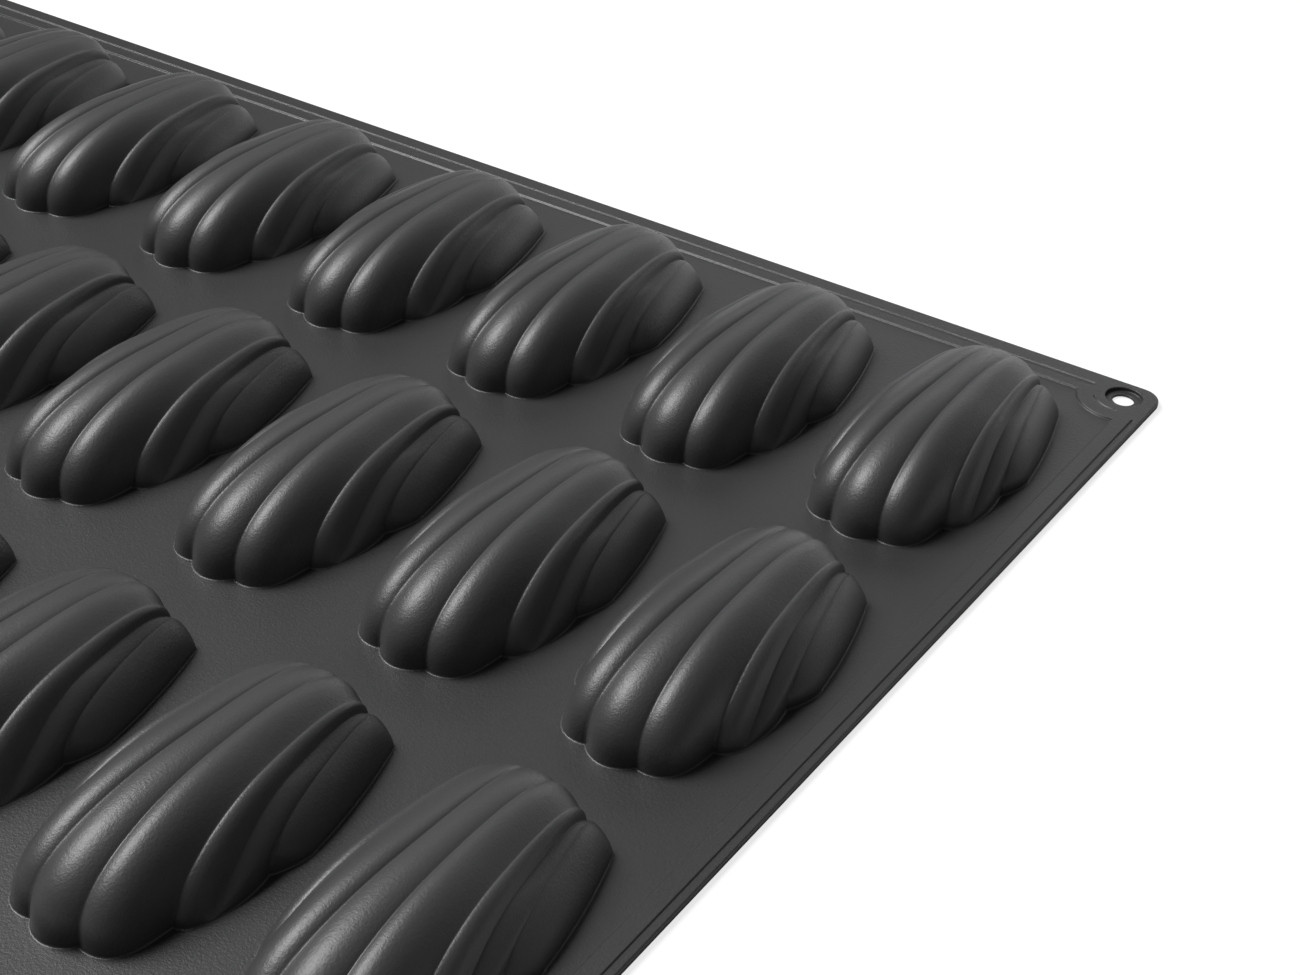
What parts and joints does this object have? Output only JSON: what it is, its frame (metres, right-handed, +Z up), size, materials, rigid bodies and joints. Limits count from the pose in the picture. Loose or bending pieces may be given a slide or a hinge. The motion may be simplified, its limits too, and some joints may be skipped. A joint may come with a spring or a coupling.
{
  "type": "madeleine mould",
  "caption": "Flexible silicone sheet mould for madeleines, shown upside down: rows of hollow ribbed shells on a thin web with a grooved border and hanging holes.",
  "frame": {"origin": "middle of the flat underside, where the open mouths of the shells lie on the table", "axes": "+Z up through the shells, +Y towards the end that the narrow tips of the shells point to, +X across the columns, to the right as seen from the near end"},
  "size_m": [0.4, 0.3, 0.0182],
  "materials": {
    "silicone": "satin"
  },
  "bodies": {
    "root": {"web_sheet": "silicone", "shell_row1_column1": "silicone", "shell_row1_column2": "silicone", "shell_row1_column3": "silicone", "shell_row1_column4": "silicone", "shell_row1_column5": "silicone", "shell_row1_column6": "silicone", "shell_row1_column7": "silicone", "shell_row1_column8": "silicone", "shell_row2_column1": "silicone", "shell_row2_column2": "silicone", "shell_row2_column3": "silicone", "shell_row2_column4": "silicone", "shell_row2_column5": "silicone", "shell_row2_column6": "silicone", "shell_row2_column7": "silicone", "shell_row2_column8": "silicone", "shell_row3_column1": "silicone", "shell_row3_column2": "silicone", "shell_row3_column3": "silicone", "shell_row3_column4": "silicone", "shell_row3_column5": "silicone", "shell_row3_column6": "silicone", "shell_row3_column7": "silicone", "shell_row3_column8": "silicone", "side_border_left": "silicone", "side_border_right": "silicone", "end_border_far": "silicone", "end_border_near": "silicone", "corner_far_left": "silicone", "corner_far_right": "silicone", "corner_near_left": "silicone", "corner_near_right": "silicone"}
  },
  "joints": []
}
